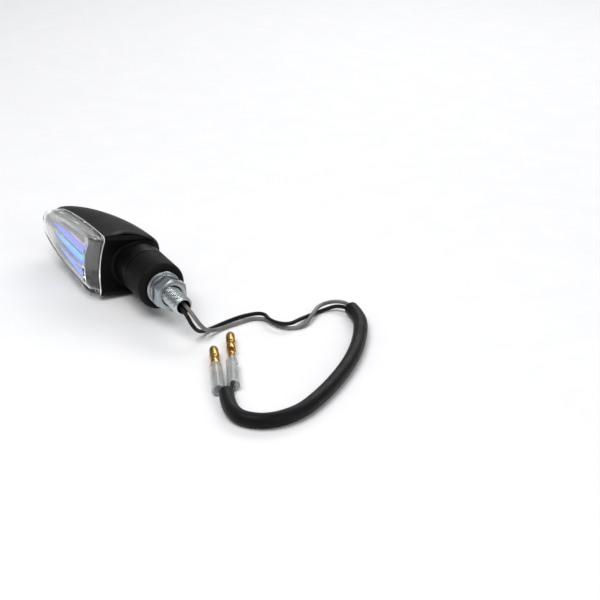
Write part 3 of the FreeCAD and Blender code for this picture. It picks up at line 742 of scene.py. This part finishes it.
def make_bezel(materials):
    """Silver plate: a face with long pointed hollows for the bars, and a skirt down to the rim."""
    level = BEZEL_SKIRT[-1]
    rows, columns = 150, 181
    vertices = []
    for row in range(rows):
        along = (row / (rows - 1)) ** 1.15
        for column in range(columns):
            x, z = bezel_place(level, along, 1 - 2 * column / (columns - 1))
            depth = max(smoothstep(bar_reach(bar, x, z) / 0.3 + 0.5) for bar in BARS)
            vertices.append(to_metres((x, BEZEL_FACE_Y + BAR_RECESS * depth, z)))
    faces = grid_faces(rows, columns)
    skirt_vertices, skirt_faces = ring_stack(BEZEL_SKIRT + ((BEZEL_FACE_Y, 3.1, 8.3, 4.0),))
    add_mesh(vertices, faces, skirt_vertices, skirt_faces)
    bezel = new_object("bezel_plate", vertices, faces, materials["silver"], lean=True, sharp_deg=30)
    bezel.data.materials.append(materials["slope"])
    flat = LEAN.inverted()
    # faces turned toward the inner end take the darker copy: painted shade
    for face in bezel.data.polygons:
        normal = flat.to_3x3() @ face.normal
        if normal.x > 0.35 and abs(face.center.z) < RIM_HALF_HEIGHT:
            face.material_index = 1
    finish_piece(bezel, "lamp_head", "bezel_silver", "bezel")


def make_bar(name, bar, material, crown):
    """Coated bar: a long pointed strip, crowned across, lying in its hollow."""
    centre, half_width, tip = bar
    rows, columns = 90, 13
    vertices = []
    for row in range(rows):
        share = row / (rows - 1)
        x = tip + 0.3 + (BAR_END_X - 0.15 - tip - 0.3) * share
        taper = bar_taper(x)
        width = bar_width(half_width, share)
        for column in range(columns):
            across = 1 - 2 * column / (columns - 1)
            y = BEZEL_FACE_Y + BAR_RECESS - 0.08 - crown * (1 - across ** 2)
            vertices.append(to_metres((x, y, centre * taper + across * width)))
    made = new_object(name, vertices, grid_faces(rows, columns), material, lean=True)
    coordinates = made.data.uv_layers.new(name="bar")
    flat = LEAN.inverted()
    for loop in made.data.loops:
        place = flat @ made.data.vertices[loop.vertex_index].co / MM
        share = (place.x - tip) / (BAR_END_X - tip)
        across = (place.z - centre * bar_taper(place.x)) / (2 * half_width)
        coordinates.data[loop.index].uv = (share, 0.5 + across)
    return made


def make_bars(materials):
    kinds = ("bar_dark", "bar_blue", "bar_cyan", "bar_low")
    for number, (bar, kind) in enumerate(zip(BARS, kinds)):
        crown = DARK_BAR_CROWN if kind == "bar_dark" else BAR_CROWN
        made = make_bar("coated_bar_%d" % (number + 1), bar, materials[kind], crown)
        finish_piece(made, "lamp_head", "filter_blue", *(["dichroic_filter"] if number == 0 else []))


# --- stem and mounting side ---
def make_stem(materials):
    length = STEM_LENGTH / MM
    radius = STEM_R / MM
    profile = [(-length, 4.2), (-length, radius - 0.5), (-length + 0.12, radius - 0.2)]
    profile.append((-length + 0.4, radius))
    for step in range(1, 20):
        profile.append((-length + 0.4 + (length - 2.8) * step / 20, radius))
    for step in range(0, 9):
        angle = math.radians(90 * step / 8)
        profile.append((-2.4 + 2.4 * math.sin(angle), radius - 2.4 + 2.4 * math.cos(angle)))
    profile += [(0.0, 6.0), (0.0, 4.1)]
    stem = turned("stem", profile, materials["rubber"], steps=128, closed=False)
    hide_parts("rubber_stem")
    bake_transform(stem)


def make_stud(materials):
    """Hollow stud with its helical thread cut between the seat and the chamfered end."""
    end = STUD_END / MM
    major, depth, pitch = 4.0, 0.72, 1.25
    turn_steps, row_step = 96, 0.11
    start, bore_depth = -2.4, 12
    end_drop, end_slope = 0.75, 0.9
    rows = int((end - start) / row_step)
    vertices = []
    for row in range(rows + 1):
        x = start + (end - start) * row / rows
        for step in range(turn_steps):
            angle = 2 * math.pi * step / turn_steps
            phase = (x / pitch - step / turn_steps) % 1.0
            ridge = min(1.0, max(0.0, (abs(phase - 0.5) * 2 - 0.2) / 0.62))
            radius = major - depth * (1 - ridge)
            radius = min(radius, major - end_drop + (end - x) * end_slope)
            vertices.append(to_metres((x, radius * math.cos(angle), radius * math.sin(angle))))
    inner = ((end, 3.1), (end - 0.15, 2.92), (end - bore_depth, 2.9))
    for x, radius in inner:
        for step in range(turn_steps):
            angle = 2 * math.pi * step / turn_steps
            vertices.append(to_metres((x, radius * math.cos(angle), radius * math.sin(angle))))
    faces = grid_faces(rows + 4, turn_steps, close_columns=True)
    stud = new_object("stud_thread", vertices, faces, materials["thread"], sharp_deg=50)
    stud.data.materials.append(materials["bore"])
    stud.data.materials.append(materials["thread_root_shade"])
    for face in stud.data.polygons:
        from_axis = math.hypot(face.center.y, face.center.z) / MM
        # faces inside the bore take the painted shade
        if face.center.x / MM > end - bore_depth and from_axis < 3.0:
            face.material_index = 1
        # faces down in the thread's grooves take the painted shade
        elif 3.2 < from_axis < major - 0.42 * depth and face.center.x / MM < end - 0.9:
            face.material_index = 2
    finish_piece(stud, "stud_side", "zinc_steel", "threaded_stud")


def make_nut(materials):
    """Hexagon nut whose corners are chamfered to a circle at both ends."""
    low, high = NUT_LOW.x / MM, NUT_HIGH.x / MM
    flat_r = 6.5
    corner_turn = 90.0
    steps = 180
    vertices = []
    rings = 14
    for ring in range(rings):
        for step in range(steps):
            degrees = 360 * step / steps
            from_flat = (degrees - corner_turn + 30) % 60 - 30
            from_corner = abs((degrees - corner_turn) % 60 - 30)
            reach = flat_r / math.cos(math.radians(from_corner)) - 0.02 * (1 - abs(from_flat) / 30)
            drop = max(0.0, (reach - flat_r + 0.25) * math.tan(math.radians(30)))
            angle = math.radians(degrees)
            rows = ((low + 2.0, 4.0), (low + 0.5, 4.05), (low + 0.06, 4.55), (low, 4.7), (low, flat_r - 0.4),
                    (low + 0.04, flat_r - 0.25), (low + drop, reach - 0.03), (low + drop + 0.15, reach),
                    (high - drop - 0.15, reach), (high - drop, reach - 0.03), (high - 0.04, flat_r - 0.25),
                    (high, flat_r - 0.4), (high, 4.75), (high - 0.75, 4.02))
            x, radius = rows[ring]
            vertices.append(to_metres((x, radius * math.cos(angle), radius * math.sin(angle))))
    nut = new_object("nut", vertices, grid_faces(rings, steps, close_rows=True, close_columns=True),
                     materials["steel"], sharp_deg=18)
    finish_piece(nut, "nut", "zinc_steel", "hex_nut")


def make_washers(materials):
    low, high = FLAT_LOW.x / MM, FLAT_HIGH.x / MM
    outer = FLAT_HIGH.z / MM
    section = ((low, 4.2), (low, outer - 0.3), (low + 0.08, outer - 0.1), (low + 0.3, outer),
               (high - 0.4, outer), (high - 0.12, outer - 0.12), (high, outer - 0.4), (high, 4.25))
    flat = turned("plain_washer", section, materials["steel"], steps=120)
    finish_piece(flat, "flat_washer_body", "zinc_steel", "flat_washer")
    low, high = LOCK_LOW.x / MM, LOCK_HIGH.x / MM
    outer, inner, steps = LOCK_HIGH.z / MM, 4.15, 120
    gap = 5.0
    start_deg = 295.0
    vertices = []
    section = ((0.06, inner), (0.0, inner + 0.15), (0.0, outer - 0.3), (0.1, outer - 0.08), (0.3, outer),
               (1.7, outer), (1.9, outer - 0.08), (2.0, outer - 0.3), (2.0, inner + 0.15), (1.94, inner))
    for step in range(steps + 1):
        share = step / steps
        angle = math.radians(start_deg + gap + (360 - 2 * gap) * share)
        for x, radius in section:
            vertices.append(to_metres((low + min(max(x, 0), high - low), radius * math.cos(angle),
                                       radius * math.sin(angle))))
    count = len(section)
    faces = grid_faces(steps + 1, count, close_columns=True)
    faces.append(tuple(range(count)))
    faces.append(tuple(steps * count + index for index in range(count)))
    lock = new_object("split_washer", vertices, faces, materials["steel"])
    finish_piece(lock, "nut_carrier", "zinc_steel", "lock_washer")


def dress_frame_nodes(materials):
    """Carried-over CAD nodes take their detailed materials."""
    looks = {
        "lens_gasket": "gasket", "lens_screw": "steel", "reflector_pan": "mirror", "bulb_holder": "holder",
        "live_contact": "brass", "earth_contact": "brass", "bulb_glass": "bulb", "bulb_wedge": "bulb",
        "bulb_filament": "tungsten", "stem_insert": "steel", "retaining_washer": "steel",
        "retaining_nut": "steel", "grey_lead_in_head": "grey_wire", "black_lead_in_head": "black_wire",
        "grey_lead_in_stud": "grey_wire", "black_lead_in_stud": "black_wire",
    }
    for node, look in looks.items():
        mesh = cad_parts[node].data
        mesh.materials.clear()
        mesh.materials.append(materials[look])


make_camera()
MATERIALS = make_materials()
make_lead(MATERIALS)
make_stage()
make_housing(MATERIALS)
make_lens(MATERIALS)
make_bezel(MATERIALS)
make_bars(MATERIALS)
make_stem(MATERIALS)
make_stud(MATERIALS)
make_nut(MATERIALS)
make_washers(MATERIALS)
dress_frame_nodes(MATERIALS)
